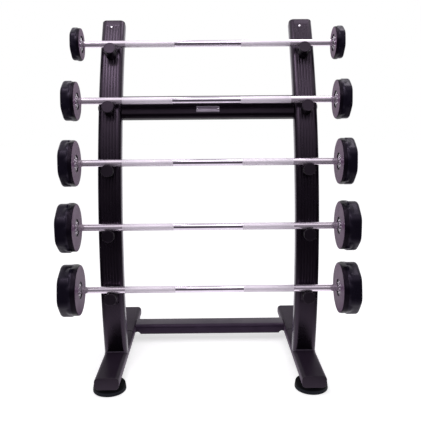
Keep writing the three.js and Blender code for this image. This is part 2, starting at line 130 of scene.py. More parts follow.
# Crossbeams
LOWER_BEAM_SETBACK = 493
LOWER_BEAM_Y = LEG_FRONT + LOWER_BEAM_SETBACK + TUBE_WIDTH / 2
UPPER_BEAM_AT = 979
BEAM_LENGTH = POST_SPACING - TUBE_WIDTH - 2 * SEAT
BEAM_EDGE = 0.5
BEAM_ROWS = 24
NOTCH_RADIUS = 13
NOTCH_INSET = 8
NOTCH_RISE = 3
NOTCH_STEPS = 40
BOLT_RADIUS = 12
BOLT_HEIGHT = 3
BOLT_RIM = 0.5
BOLT_SOCKET = 5
BOLT_SOCKET_RIM = 1.5
# The socket's floor: its height as a share of the head's, and its size as a share of the opening's
BOLT_SOCKET_FLOOR = (0.35, 0.96)
BOLT_DOME_STEPS = 6
BOLT_STEPS = 48

# Badge
BADGE_WIDTH = 89
BADGE_HEIGHT = 24
BADGE_THICKNESS = 1.5
BADGE_DROP = 15
BADGE_CORNER = 3
BADGE_EDGE = 0.4
BADGE_EDGE_MIDDLE = 0.12
RIVET_INSET = 4.5
RIVET_RADIUS = 3
RIVET_DOME = 1.6
# How far the rivet's foot is let in and sunk
RIVET_FOOT = (0.3, 0.2)
RIVET_STEPS = 32

# Pegs
TIERS = 5
FIRST_TIER = 277.5
TIER_PITCH = 237.2
PEG_WAIST = 18
PEG_BASE = 21
PEG_LIP = 23.5
PEG_LENGTH = 48.6
PEG_LIP_THICKNESS = 8
PEG_BASE_EDGE = 0.8
PEG_REAR_EDGE = 1.2
PEG_FRONT_EDGE = 1.8
PEG_RIM = 3.2
PEG_DISH = 0.4
PEG_DISH_SLOPE = 0.6
PEG_DISH_RADIUS = 6
PEG_THROAT_START = 6
PEG_THROAT_LEAD = 1
PEG_THROAT_STEPS = 14
PEG_THROAT_CURVE = 2.4

# Barbells
BAR_RADIUS = 13
GRIP_RADIUS = 13.2
BAR_STANDOFF = 25.2
BAR_EXPOSED = 980
GRIP_START = 170
GRIP_LENGTH = 191
GRIP_EDGE = 0.2
BAR_END_EDGE = 1
BAR_END_SETBACK = 11
BAR_DROP = BAR_RADIUS + PEG_WAIST + SEAT
KNURL_PITCH = 1.6
HEAD_SIDES = 7
HEAD_STEPS = 24
HEAD_LEVELS = 24
HEAD_EDGE_SHARE = 0.13
HEAD_EDGE_STEPS = 8
HEAD_CORNER_SHARE = 0.48
FACE_EDGE = 3
FACE_EDGE_STEPS = 6
FACE_EDGE_RING = 1
FACE_RING_SHARES = (0.6, 0.8)
BACK_INSETS = (5, 6)
BACK_RECESS = 0.6
LAYER_BLEND = 1.6
# Shares of a head's thickness between which its inner layer's corners come and go and its outer
# layer's corners come, and the share up to which the tread has the darker, duller rubber of painted shade.
INNER_RISE = (-0.05, 0.2)
INNER_END = (0.38, 0.64)
OUTER_START = (0.24, 0.4)
SHADED_BAND_SHARE = 0.27
HUB_RADIUS = 32.5
HUB_RECESS = 3
HUB_EDGE = 0.8
HUB_GAP = 0.4
HUB_WALL_DROP = 1
HUB_PLATE_DEPTH = 3
HUB_BORE_GAP = 0.5
# How far across and how far down the hub plate's bore and rim are bevelled
HUB_BORE_BEVEL = (0.5, 0.4)
HUB_RIM_BEVEL = (0.6, 0.5)
DOME_COUNT = 8
DOME_RING = 20.5
DOME_RADIUS = 4
DOME_HEIGHT = 2.6
DOME_ROOT = 0.5
DOME_RISE_STEPS = 6
DOME_STEPS = 24

# For each barbell from the top: the head's radius as a share of the tiers' pitch, its thickness as a
# share of its radius, the sideways shift as a share of the bar's diameter, and the roll in degrees.
BARBELL_SHARES = [
    (0.2694, 0.563, 0.077, -22.4),
    (0.3221, 0.641, -0.173, -21.4),
    (0.3748, 0.596, -0.096, -19.2),
    (0.3984, 0.688, -0.115, -14.4),
    (0.4233, 0.687, 0, -25.5),
]
BARBELLS = [
    (TIER_PITCH * size, TIER_PITCH * size * thick, 2 * BAR_RADIUS * shift, roll)
    for size, thick, shift, roll in BARBELL_SHARES
]

# The angle between faces from which an edge stays sharp
SHARP_ANGLE = math.radians(32)
# The steps round a turned piece and in a quarter round
ROUND = 72
QUARTER_STEPS = 5
# The radius left at a dome's top, so that its last ring isn't a point
DOME_TIP = 0.02


# Materials

GLOSS_TINT = (0.92, 0.68, 1.0)


def shader(name):
    """A new material, its node tree and its Principled shader."""
    material = bpy.data.materials.new(name)
    material.use_nodes = True
    tree = material.node_tree
    return material, tree, tree.nodes["Principled BSDF"]


def node(tree, kind, **values):
    """A new node, with its own settings and the values of its sockets by name."""
    made = tree.nodes.new(kind)
    for key, value in values.items():
        if hasattr(made, key):
            setattr(made, key, value)
        else:
            made.inputs[key.replace("_", " ")].default_value = value
    return made


def noise(tree, scale, detail, stretch=(1, 1, 1)):
    """Noise in the object's own coordinates, with a scale in grains per metre."""
    place = node(tree, "ShaderNodeTexCoord")
    mapping = node(tree, "ShaderNodeMapping")
    mapping.inputs["Scale"].default_value = stretch
    made = node(tree, "ShaderNodeTexNoise", Scale=scale, Detail=detail)
    tree.links.new(place.outputs["Object"], mapping.inputs["Vector"])
    tree.links.new(mapping.outputs["Vector"], made.inputs["Vector"])
    return made.outputs["Fac"]


def spread(tree, source, low, high, start=0.3, end=0.7):
    """Maps the source from the range start to end onto the range low to high."""
    made = node(tree, "ShaderNodeMapRange")
    for socket, value in zip(("From Min", "From Max", "To Min", "To Max"), (start, end, low, high)):
        made.inputs[socket].default_value = value
    tree.links.new(source, made.inputs["Value"])
    return made.outputs["Result"]


def blend_colours(tree, factor, first, second):
    made = node(tree, "ShaderNodeMix", data_type="RGBA")
    made.inputs["A"].default_value = (*first, 1)
    made.inputs["B"].default_value = (*second, 1)
    tree.links.new(factor, made.inputs["Factor"])
    return made.outputs["Result"]


def bump(tree, principled, heights):
    """Chains bumps of (height socket, strength, distance in millimetres)."""
    normal = None
    for height, strength, distance in heights:
        made = node(tree, "ShaderNodeBump", Strength=strength, Distance=distance * MM)
        tree.links.new(height, made.inputs["Height"])
        if normal:
            tree.links.new(normal, made.inputs["Normal"])
        normal = made.outputs["Normal"]
    tree.links.new(normal, principled.inputs["Normal"])


def coated(name, dark, light, rough, grain, relief, wear=None, level=0.5, tint=GLOSS_TINT):
    """Paint, plastic or rubber: mottled colour, uneven gloss, a fine grain and paler worn edges."""
    material, tree, principled = shader(name)
    principled.inputs["Specular Tint"].default_value = (*tint, 1)
    principled.inputs["Specular IOR Level"].default_value = level
    mottle = noise(tree, 14, 5)
    colour = blend_colours(tree, spread(tree, mottle, 0, 1), dark, light)
    if wear:
        edge = node(tree, "ShaderNodeNewGeometry").outputs["Pointiness"]
        worn = spread(tree, edge, 0, 1, 0.53, 0.62)
        patch = node(tree, "ShaderNodeMath", operation="MULTIPLY")
        tree.links.new(worn, patch.inputs[0])
        tree.links.new(spread(tree, noise(tree, 60, 3), 0, 1, 0.45, 0.75), patch.inputs[1])
        mixed = node(tree, "ShaderNodeMix", data_type="RGBA")
        mixed.inputs["B"].default_value = (*wear, 1)
        tree.links.new(patch.outputs[0], mixed.inputs["Factor"])
        tree.links.new(colour, mixed.inputs["A"])
        colour = mixed.outputs["Result"]
    tree.links.new(colour, principled.inputs["Base Color"])
    tree.links.new(spread(tree, noise(tree, 9, 4), *rough), principled.inputs["Roughness"])
    bump(tree, principled, [(noise(tree, 35, 2), 0.25, 0.15), (noise(tree, grain, 2), 0.5, relief)])
    return material


def bloom(material, weight, rough, tint):
    """A faint coloured veil, seen best where a face is nearly edge on."""
    principled = material.node_tree.nodes["Principled BSDF"]
    principled.inputs["Sheen Weight"].default_value = weight
    principled.inputs["Sheen Roughness"].default_value = rough
    principled.inputs["Sheen Tint"].default_value = (*tint, 1)


def metal(name, dark, light, rough, stretch=(1, 1, 1), grain=400, relief=0.01, metallic=1.0):
    """Bare or plated metal with faint streaks and smudges."""
    material, tree, principled = shader(name)
    principled.inputs["Metallic"].default_value = metallic
    colour = blend_colours(tree, spread(tree, noise(tree, 20, 4, stretch), 0, 1), dark, light)
    tree.links.new(colour, principled.inputs["Base Color"])
    tree.links.new(spread(tree, noise(tree, 30, 5, stretch), *rough), principled.inputs["Roughness"])
    bump(tree, principled, [(noise(tree, grain, 2, stretch), 0.3, relief)])
    return material


def knurled(name):
    """Chrome with crossed grooves, laid out by the grip's own UV map in pitches."""
    material, tree, principled = shader(name)
    principled.inputs["Metallic"].default_value = 0.35
    place = node(tree, "ShaderNodeUVMap", uv_map="knurl")
    parts = node(tree, "ShaderNodeSeparateXYZ")
    tree.links.new(place.outputs["UV"], parts.inputs["Vector"])
    ridges = []
    for operation in ("ADD", "SUBTRACT"):
        diagonal = node(tree, "ShaderNodeMath", operation=operation)
        tree.links.new(parts.outputs["X"], diagonal.inputs[0])
        tree.links.new(parts.outputs["Y"], diagonal.inputs[1])
        wave = node(tree, "ShaderNodeMath", operation="PINGPONG")
        wave.inputs[1].default_value = 0.5
        tree.links.new(diagonal.outputs[0], wave.inputs[0])
        ridges.append(wave.outputs[0])
    height = node(tree, "ShaderNodeMath", operation="MINIMUM")
    tree.links.new(ridges[0], height.inputs[0])
    tree.links.new(ridges[1], height.inputs[1])
    # The grooves' valleys are coloured darker than the ridges: painted shade.
    valley_shade = spread(tree, height.outputs[0], 0, 1, 0.0, 0.3)
    colour = blend_colours(tree, valley_shade, (0.80, 0.71, 0.86), (1.0, 0.92, 1.0))
    tree.links.new(colour, principled.inputs["Base Color"])
    tree.links.new(spread(tree, noise(tree, 40, 4), 0.42, 0.55), principled.inputs["Roughness"])
    bump(tree, principled, [(height.outputs[0], 0.6, 0.5)])
    return material


WEAR = (0.012, 0.009, 0.014)
BLACK_PAINT = coated(
    "frame_paint", (0.0012, 0.0008, 0.0015), (0.0026, 0.0018, 0.0032), (0.24, 0.34), 900, 0.05, WEAR
)
bloom(BLACK_PAINT, 0.18, 0.36, (0.8, 0.6, 1.0))
# A much lighter, less glossy copy of the black frame paint for the lower crossbeam: painted light.
LOWER_BEAM_LIT_PAINT = coated(
    "lower_beam_lit_paint", (0.020, 0.012, 0.026), (0.030, 0.019, 0.038), (0.3, 0.42), 900, 0.05,
    (0.034, 0.026, 0.04), 0.22,
)
# A lighter, less glossy copy of the black frame paint for the legs: painted light on them, and painted shade
# in their weaker reflections.
LEG_LIT_AND_SHADED_PAINT = coated(
    "leg_lit_and_shaded_paint", (0.005, 0.003, 0.0065), (0.009, 0.0055, 0.0115), (0.34, 0.46), 900, 0.05,
    (0.026, 0.02, 0.03), 0.05,
)
bloom(LEG_LIT_AND_SHADED_PAINT, 0.24, 0.36, (0.9, 0.6, 1.0))
# A darker, far less glossy copy of the frame paint: painted shade on the upper crossbeam behind the second
# bar, and in the legs' seam groove.
SHADED_FRAME_PAINT = coated(
    "shaded_frame_paint", (0.0010, 0.0006, 0.0012), (0.0022, 0.0015, 0.0027), (0.26, 0.38), 900, 0.05,
    WEAR, 0.16,
)
# Pale grey bead paint: a painted highlight along the foot of each upright.
WELD_HIGHLIGHT_PAINT = coated(
    "weld_highlight_paint", (0.060, 0.050, 0.070), (0.10, 0.086, 0.116), (0.32, 0.46), 500, 0.15, (0.14, 0.12, 0.16)
)
CAP_PLASTIC = coated(
    "cap_plastic", (0.002, 0.0015, 0.0024), (0.004, 0.003, 0.0048), (0.38, 0.5), 1400, 0.04, WEAR, 0.4
)
PEG_PLASTIC = coated(
    "peg_plastic", (0.0014, 0.001, 0.0018), (0.003, 0.0022, 0.0038), (0.4, 0.52), 1200, 0.05, WEAR, 0.36
)
FOOT_RUBBER = coated(
    "foot_rubber", (0.0012, 0.0011, 0.0017), (0.0026, 0.0024, 0.0036), (0.5, 0.68), 700, 0.12,
    (0.01, 0.01, 0.013), 0.06, (0.85, 0.85, 1.0),
)
# A lighter copy of the foot rubber for the rim: a painted highlight.
FOOT_RIM_HIGHLIGHT = coated(
    "foot_rim_highlight", (0.013, 0.014, 0.019), (0.020, 0.021, 0.028), (0.5, 0.68), 700, 0.12,
    (0.03, 0.03, 0.037), 0.1, (0.85, 0.85, 1.0),
)
HEAD_RUBBER = coated(
    "head_rubber", (0.0042, 0.0031, 0.0078), (0.0068, 0.0051, 0.0118), (0.24, 0.34), 600, 0.05,
    (0.012, 0.009, 0.015), 0.2, (0.86, 0.7, 1.0),
)
bloom(HEAD_RUBBER, 0.14, 0.35, (0.7, 0.5, 1.0))
# A lighter copy of the head rubber with a strong violet sheen for the inner faces: its lighter colour is
# painted light.
LIT_FACE_RUBBER = coated(
    "lit_face_rubber", (0.010, 0.006, 0.012), (0.018, 0.011, 0.021), (0.3, 0.42), 600, 0.05, None, 0.05
)
bloom(LIT_FACE_RUBBER, 0.38, 0.4, (0.98, 0.55, 1.0))
# A darker, less glossy copy of the head rubber for the band between face and tread: painted shade.
SHADED_BAND_RUBBER = coated(
    "shaded_band_rubber", (0.0026, 0.0018, 0.0044), (0.0042, 0.0030, 0.0068), (0.3, 0.42), 600, 0.05, None, 0.12
)
IRON = metal("machined_iron", (0.04, 0.034, 0.046), (0.08, 0.07, 0.09), (0.35, 0.5))
OXIDE = metal("bolt_oxide", (0.05, 0.048, 0.055), (0.09, 0.086, 0.098), (0.3, 0.45))
CHROME = metal("bar_chrome", (0.70, 0.62, 0.73), (0.78, 0.70, 0.82), (0.06, 0.12), grain=300, relief=0.004)
# A paler, less metallic copy of the bar chrome for the bar's ends by the heads: painted light.
LIT_END_CHROME = metal(
    "lit_bar_end_chrome", (0.92, 0.80, 0.96), (1.0, 0.88, 1.0), (0.08, 0.15),
    grain=300, relief=0.004, metallic=0.78,
)
KNURL = knurled("grip_knurl")
POLISHED = metal("polished_steel", (0.76, 0.70, 0.79), (0.86, 0.80, 0.88), (0.10, 0.18))
PLATE = metal("plate_satin", (0.2, 0.17, 0.215), (0.3, 0.26, 0.325), (0.28, 0.4), (0.2, 4, 4), 900)


# Mesh making


def finish_piece(name, mesh, materials, body, nodes, at=(0, 0, 0)):
    """Puts a mesh into the scene on its body and the solids that it replaces."""
    for material in materials:
        mesh.materials.append(material)
    piece = bpy.data.objects.new(name, mesh)
    bpy.context.scene.collection.objects.link(piece)
    piece.location = Vector(at) * MM
    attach(piece, body)
    if nodes:
        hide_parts(*nodes)


def smooth(made, mesh):
    """Faces point out, and an edge stays sharp only where the faces turn hard."""
    bmesh.ops.recalc_face_normals(made, faces=made.faces)
    for face in made.faces:
        face.smooth = True
    for edge in made.edges:
        if len(edge.link_faces) == 2:
            edge.smooth = edge.calc_face_angle(0) < SHARP_ANGLE
    made.to_mesh(mesh)
    made.free()


def skins(name, shells):
    """One mesh from shells, each a list of rings of equal length, closed at both ends.
    A shell may come as (rings, material index for each band)."""
    mesh = bpy.data.meshes.new(name)
    made = bmesh.new()
    for shell in shells:
        rings, bands = shell if isinstance(shell, tuple) else (shell, None)
        rows = [[made.verts.new(Vector(point) * MM) for point in ring] for ring in rings]
        for index, (row, after) in enumerate(zip(rows, rows[1:])):
            for k in range(len(row)):
                j = (k + 1) % len(row)
                face = made.faces.new((row[k], row[j], after[j], after[k]))
                if bands:
                    face.material_index = bands[index]
        for end, index in ((rows[0], 0), (rows[-1], -1)):
            face = made.faces.new(end)
            if bands:
                face.material_index = bands[index]
    smooth(made, mesh)
    return mesh


def rounded(width, height, corner):
    """A rounded rectangle round the origin."""
    points = []
    for turn, (x, y) in enumerate(((1, 1), (-1, 1), (-1, -1), (1, -1))):
        middle = Vector((x * (width / 2 - corner), y * (height / 2 - corner)))
        for step in range(CORNER_STEPS + 1):
            angle = (turn + step / CORNER_STEPS) * math.pi / 2
            points.append((middle.x + corner * math.cos(angle), middle.y + corner * math.sin(angle)))
    return points


def evenly(first, last, count):
    """Values from the first to the last in equal steps."""
    return [first + (last - first) * k / count for k in range(count + 1)]


def ease(value, start, end):
    """A smooth rise from zero at the start to one at the end."""
    share = min(max((value - start) / (end - start), 0), 1)
    return share * share * (3 - 2 * share)


def inset(width, height, corner, by):
    """The rounded rectangle moved in."""
    return rounded(width - 2 * by, height - 2 * by, max(corner - by, SMALLEST_CORNER))


def turned(profile, to_place, count=ROUND):
    """Rings of a round piece about a local Z axis, from (radius, height) pairs."""
    return [
        [
            to_place @ Vector((radius * math.cos(a), radius * math.sin(a), height))
            for a in (2 * math.pi * k / count for k in range(count))
        ]
        for radius, height in profile
    ]


def quarter(radius, height, size, start):
    """Points of a quarter round in a profile: centre, size and the angle at which it starts."""
    return [
        (radius + size * math.cos(a), height + size * math.sin(a))
        for a in (math.radians(start + 90 * k / QUARTER_STEPS) for k in range(QUARTER_STEPS + 1))
    ]


def dome(radius, height, steps=7):
    """A shallow dome's profile from its edge to its top."""
    return [
        (radius * math.cos(a) + DOME_TIP, height * math.sin(a))
        for a in (math.pi / 2 * k / steps for k in range(steps + 1))
    ]


# The uprights' arc


def post_point(along, forward=0.0):
    """The place and lean of a point on the upright's front face, or straight out of it."""
    lean = POST_BASE_LEAN + along / POST_RADIUS
    y = LEG_FRONT + POST_SETBACK - POST_RADIUS * (math.cos(lean) - math.cos(POST_BASE_LEAN))
    z = LEG_TOP + POST_RADIUS * (math.sin(lean) - math.sin(POST_BASE_LEAN))
    return y - forward * math.cos(lean), z + forward * math.sin(lean), lean


def face_out(x, along, forward=0.0):
    """Local Z points straight out of the upright's face, and local Y up along it."""
    y, z, lean = post_point(along, forward)
    return Matrix.Translation((x, y, z)) @ Matrix.Rotation(math.pi / 2 - lean, 4, "X")


def along_where(height, forward):
    """How far up the arc a line at this place in the section reaches a height."""
    reach = height - LEG_TOP + POST_RADIUS * math.sin(POST_BASE_LEAN)
    return (math.asin(reach / (POST_RADIUS + forward)) - POST_BASE_LEAN) * POST_RADIUS


def leg_surface(across):
    """The height of the leg's upper side, across its width."""
    flat = TUBE_WIDTH / 2 - TUBE_CORNER
    over = max(abs(across) - flat, 0)
    return LEG_TOP - TUBE_CORNER + math.sqrt(max(TUBE_CORNER**2 - over**2, 0))


def post_outline():
    """The section of an upright as (x, y, depth of groove), with y to the front."""
    corners = [(x, y, 0.0) for x, y in rounded(POST_WIDTH, POST_DEPTH, POST_CORNER)]
    front = []
    for flute in range(FLUTE_COUNT):
        middle = ((FLUTE_COUNT - 1) / 2 - flute) * FLUTE_PITCH
        for step in range(FLUTE_STEPS + 1):
            share = 2 * step / FLUTE_STEPS - 1
            depth = FLUTE_DEPTH * (1 - abs(share) ** FLUTE_CURVE)
            front.append((middle - share * FLUTE_WIDTH / 2, POST_DEPTH / 2, depth))
    split = CORNER_STEPS + 1
    return corners[:split] + front + corners[split:]


def make_post(side):
    x = SIDES[side] * POST_SPACING / 2
    outline = post_outline()
    bottoms = [
        along_where(max(leg_surface(px), LEG_TOP - SADDLE_DEPTH) + SEAT, py - POST_DEPTH / 2)
        for px, py, _ in outline
    ]
    stations = sorted(
        evenly(POST_FIRST_ROW, TUBE_END, POST_ROWS)
        + evenly(FLUTE_BOTTOM, FLUTE_BOTTOM + FLUTE_RUNOUT, FLUTE_RUNOUT_ROWS)
        + evenly(FLUTE_TOP - FLUTE_RUNOUT, FLUTE_TOP, FLUTE_RUNOUT_ROWS)
    )
    rings = []
    for share in POST_FOOT_SHARES:
        ring = []
        for (px, py, _), bottom in zip(outline, bottoms):
            y, z, _ = post_point(bottom + (stations[0] - bottom) * share, py - POST_DEPTH / 2)
            ring.append((x + px, y, z))
        rings.append(ring)
    for along in stations:
        reach = min(along - FLUTE_BOTTOM, FLUTE_TOP - along) / FLUTE_RUNOUT
        share = math.sqrt(min(max(reach, 0), 1))
        ring = []
        for px, py, depth in outline:
            y, z, _ = post_point(along, py - POST_DEPTH / 2 - depth * share)
            ring.append((x + px, y, z))
        rings.append(ring)
    name = f"upright_tube_{side}"
    finish_piece(name, skins(name, [rings]), [BLACK_PAINT], "rack", [f"upright_{side}"])
    make_weld(side, x, outline, bottoms)


def make_weld(side, x, outline, bottoms):
    """The bead round the foot of an upright, where it meets the leg, in pale grey paint as a painted
    highlight.
    """
    path = []
    for (px, py, _), bottom in zip(outline, bottoms):
        y, z, _ = post_point(bottom, py - POST_DEPTH / 2)
        path.append(Vector((x + px, y, z)))
    middle = sum(path, Vector()) / len(path)
    rings = []
    for index, point in enumerate(path):
        before, after = path[index - 1], path[(index + 1) % len(path)]
        ahead = (after - before).normalized()
        out = point - middle
        out.z = 0
        out = (out - out.dot(ahead) * ahead).normalized()
        up = out.cross(ahead)
        size = WELD_RADIUS + WELD_RIPPLE * math.sin(index * WELD_RIPPLE_TURN)
        rings.append(
            [
                point + size * (math.cos(a) * out + math.sin(a) * up)
                for a in (2 * math.pi * k / WELD_SIDES for k in range(WELD_SIDES))
            ]
        )
    rings.append(rings[0])
    name = f"weld_bead_{side}"
    finish_piece(name, skins(name, [rings]), [WELD_HIGHLIGHT_PAINT], "rack", [])


def make_top_cap(side):
    x = SIDES[side] * POST_SPACING / 2
    y, z, lean = post_point(TUBE_END, -POST_DEPTH / 2)
    place = Matrix.Translation((x, y, z)) @ Matrix.Rotation(-lean, 4, "X")
    edge = TOP_CAP_EDGE
    levels = [(SEAT, TOP_CAP_REAR_EDGE), (SEAT + TOP_CAP_REAR_EDGE, 0)] + [
        (TOP_CAP - edge + edge * math.sin(a), edge * (1 - math.cos(a)))
        for a in (math.radians(90 * k / CAP_EDGE_STEPS) for k in range(CAP_EDGE_STEPS + 1))
    ]
    rings = [
        [place @ Vector((px, -py, level)) for px, py in inset(POST_WIDTH, POST_DEPTH, POST_CORNER, by)]
        for level, by in levels
    ]
    name = f"tube_cap_{side}"
    finish_piece(name, skins(name, [rings]), [CAP_PLASTIC], "rack", [f"top_cap_{side}"])


def button_head(radius, height, socket):
    """A domed screw head with a six-sided socket, about local Z."""
    inner = socket + BOLT_SOCKET_RIM
    profile = [(radius - BOLT_RIM, 0), (radius, BOLT_RIM)] + [
        (inner + (radius - inner) * math.cos(a), BOLT_RIM + (height - BOLT_RIM) * math.sin(a))
        for a in (math.pi / 2 * k / BOLT_DOME_STEPS for k in range(1, BOLT_DOME_STEPS + 1))
    ]
    rings = turned(profile, Matrix.Identity(4), BOLT_STEPS)
    half = math.pi / 6
    floor, taper = BOLT_SOCKET_FLOOR
    for depth, size in ((height, socket), (height * floor, socket * taper)):
        ring = []
        for k in range(BOLT_STEPS):
            a = 2 * math.pi * k / BOLT_STEPS
            reach = size * math.cos(half) / math.cos((a + half) % (2 * half) - half)
            ring.append(Vector((reach * math.cos(a), reach * math.sin(a), depth)))
        rings.append(ring)
    return rings


def moved(rings, place):
    return [[place @ point for point in ring] for ring in rings]


def make_cap_screw(side):
    place = face_out(SIDES[side] * POST_SPACING / 2 + SCREW_SHIFT, POST_LENGTH - SCREW_DROP, SEAT)
    profile = [(SCREW_RADIUS - SCREW_EDGE, 0), (SCREW_RADIUS, SCREW_EDGE)]
    profile += [(r, h + SCREW_EDGE + SCREW_STEP) for r, h in dome(SCREW_RADIUS - SCREW_STEP, SCREW_DOME)]
    name = f"screw_dome_{side}"
    mesh = skins(name, [turned(profile, place)])
    finish_piece(name, mesh, [POLISHED], "rack", [f"cap_screw_{side}"])


# Legs and feet


def make_leg(side):
    x = SIDES[side] * POST_SPACING / 2
    start = LEG_FRONT + END_CAP
    seam = LEG_FRONT + SEAM_SETBACK
    seam_end = seam + SEAM_WIDTH
    lip = SEAM_DEPTH * SEAM_LIP_SHARE
    levels = [(start, TUBE_EDGE)]
    levels += [(y, 0) for y in evenly(start + TUBE_EDGE, seam - TUBE_EDGE, LEG_FRONT_ROWS)]
    levels += [(seam + SEAM_LIP, lip), (seam + SEAM_WIDTH / 2, SEAM_DEPTH), (seam_end - SEAM_LIP, lip)]
    levels += [(seam_end + TUBE_EDGE, 0)]
    levels += [(y, 0) for y in evenly(seam_end + 1, -start - TUBE_EDGE, LEG_REAR_ROWS)]
    levels += [(-start, TUBE_EDGE)]
    inward = -SIDES[side]
    whole = rounded(TUBE_WIDTH, TUBE_HEIGHT, TUBE_CORNER)
    rings = []
    for y, by in levels:
        ring = []
        for (wx, wz), (px, pz) in zip(whole, inset(TUBE_WIDTH, TUBE_HEIGHT, TUBE_CORNER, by)):
            share = ease(inward * wx, *SEAM_REACH) if abs(y - seam) < 2 * SEAM_WIDTH else 1
            ring.append((x + wx + (px - wx) * share, y, LEG_MIDDLE + wz + (pz - wz) * share))
        rings.append(ring)
    name = f"leg_tube_{side}"
    mesh = skins(name, [rings])
    # The seam groove takes the darker, less glossy copy of the frame paint: painted shade in the groove.
    for face in mesh.polygons:
        spot = face.center / MM
        if seam < spot.y < seam_end and inward * (spot.x - x) > SEAM_REACH[1]:
            face.material_index = 1
    # The leg takes the lighter, less glossy copy of the frame paint, painted light and shade.
    finish_piece(name, mesh, [LEG_LIT_AND_SHADED_PAINT, SHADED_FRAME_PAINT], "rack", [f"base_leg_{side}"])
    for end, direction in (("front", 1), ("rear", -1)):
        make_leg_cap(end, direction, side, x)
        make_foot(end, side, x, direction * (LEG_FRONT + FOOT_SETBACK))


def make_leg_cap(end, direction, side, x):
    levels = [
        (CAP_EDGE * (1 - math.sin(a)), CAP_EDGE * (1 - math.cos(a)))
        for a in (math.radians(90 * k / CAP_EDGE_STEPS) for k in range(CAP_EDGE_STEPS, -1, -1))
    ]
    rear = END_CAP - SEAT
    levels += [(rear - CAP_REAR_EDGE, 0), (rear, CAP_REAR_EDGE)]
    rings = [
        [
            (x + px, direction * (LEG_FRONT + depth), LEG_MIDDLE + pz)
            for px, pz in inset(TUBE_WIDTH, TUBE_HEIGHT, TUBE_CORNER, by)
        ]
        for depth, by in levels
    ]
    name = f"leg_plug_{end}_{side}"
    mesh = skins(name, [rings])
    finish_piece(name, mesh, [CAP_PLASTIC], "rack", [f"leg_cap_{end}_{side}"])


def make_foot(end, side, x, y):
    """A foot's profile from the floor over its rim to the boss under the leg."""
    low, top, fillet = FOOT_FLOOR_EDGE, FOOT_TOP_EDGE, FOOT_FILLET
    profile = [(FOOT_RADIUS - low - FOOT_FLOOR_RING, 0), (FOOT_RADIUS - low, 0)]
    profile += quarter(FOOT_RADIUS - low, low, low, -90)[1:]
    profile += [(FOOT_RADIUS - FOOT_TAPER, FOOT_TAPER_HEIGHT)]
    profile += quarter(FOOT_RADIUS - FOOT_TOP_INSET - top, FOOT_HEIGHT - top, top, 0)
    profile += [
        (FOOT_BOSS_RADIUS + FOOT_SHOULDER, FOOT_HEIGHT),
        (FOOT_BOSS_RADIUS + fillet, FOOT_HEIGHT + FOOT_FILLET_RISE),
        (FOOT_BOSS_RADIUS, FOOT_HEIGHT + fillet),
        (FOOT_BOSS_RADIUS, LEG_BOTTOM - SEAT),
    ]
    rings = turned(profile, Matrix.Translation((x, y, 0)))
    # The rim's lowest bands take the lighter rubber: a painted highlight.
    bands = [1] * FOOT_HIGHLIGHT_BANDS + [0] * (len(rings) - 1 - FOOT_HIGHLIGHT_BANDS)
    name = f"foot_pad_{end}_{side}"
    mesh = skins(name, [(rings, bands)])
    finish_piece(name, mesh, [FOOT_RUBBER, FOOT_RIM_HIGHLIGHT], "rack", [f"foot_{end}_{side}"])


# Crossbeams


def beam_rings(place):
    half = BEAM_LENGTH / 2
    levels = [(-half, BEAM_EDGE)]
    levels += [(x, 0) for x in evenly(-half + BEAM_EDGE, half - BEAM_EDGE, BEAM_ROWS)]
    levels += [(half, BEAM_EDGE)]
    return [
        [place @ Vector((level, px, pz)) for px, pz in inset(TUBE_WIDTH, TUBE_HEIGHT, TUBE_CORNER, by)]
        for level, by in levels
    ]


def cut_holes(mesh, cutters):
    """The mesh less each closed cutter."""
    body = bpy.data.objects.new("cut_body", mesh)
    bpy.context.scene.collection.objects.link(body)
    tools = []
    for rings in cutters:
        tool = bpy.data.objects.new("cut_tool", skins("cut_tool", [rings]))
        bpy.context.scene.collection.objects.link(tool)
        step = body.modifiers.new("cut", "BOOLEAN")
        step.operation = "DIFFERENCE"
        step.solver = "EXACT"
        step.object = tool
        tools.append(tool)
    graph = bpy.context.evaluated_depsgraph_get()
    result = bpy.data.meshes.new_from_object(body.evaluated_get(graph))
    for extra in [body, *tools]:
        bpy.data.objects.remove(extra)
    made = bmesh.new()
    made.from_mesh(result)
    smooth(made, result)
    return result


def make_lower_beam():
    place = Matrix.Translation((0, LOWER_BEAM_Y, LEG_MIDDLE))
    mesh = skins("lower_beam_tube", [beam_rings(place)])
    turn = Matrix.Rotation(math.pi / 2, 4, "X")
    cutters = []
    for direction in SIDES.values():
        x = direction * (BEAM_LENGTH / 2 - NOTCH_INSET)
        spot = Matrix.Translation((x, LOWER_BEAM_Y, LEG_BOTTOM + NOTCH_RISE))
        profile = [(NOTCH_RADIUS, -TUBE_WIDTH), (NOTCH_RADIUS, TUBE_WIDTH)]
        cutters.append(turned(profile, spot @ turn, NOTCH_STEPS))
    mesh = cut_holes(mesh, cutters)
    # The lower beam takes the lighter copy of the frame paint: painted light.
    finish_piece("lower_beam_tube", mesh, [LOWER_BEAM_LIT_PAINT], "rack", ["crossbeam_lower"])


def make_upper_beam():
    y, z, lean = post_point(UPPER_BEAM_AT, -POST_DEPTH / 2)
    place = Matrix.Translation((0, y, z)) @ Matrix.Rotation(math.pi / 2 - lean, 4, "X")
    mesh = skins("upper_beam_tube", [beam_rings(place)])
    # The upper beam takes the darker, less glossy copy of the frame paint: painted shade.
    finish_piece("upper_beam_tube", mesh, [SHADED_FRAME_PAINT], "rack", ["crossbeam_upper"])


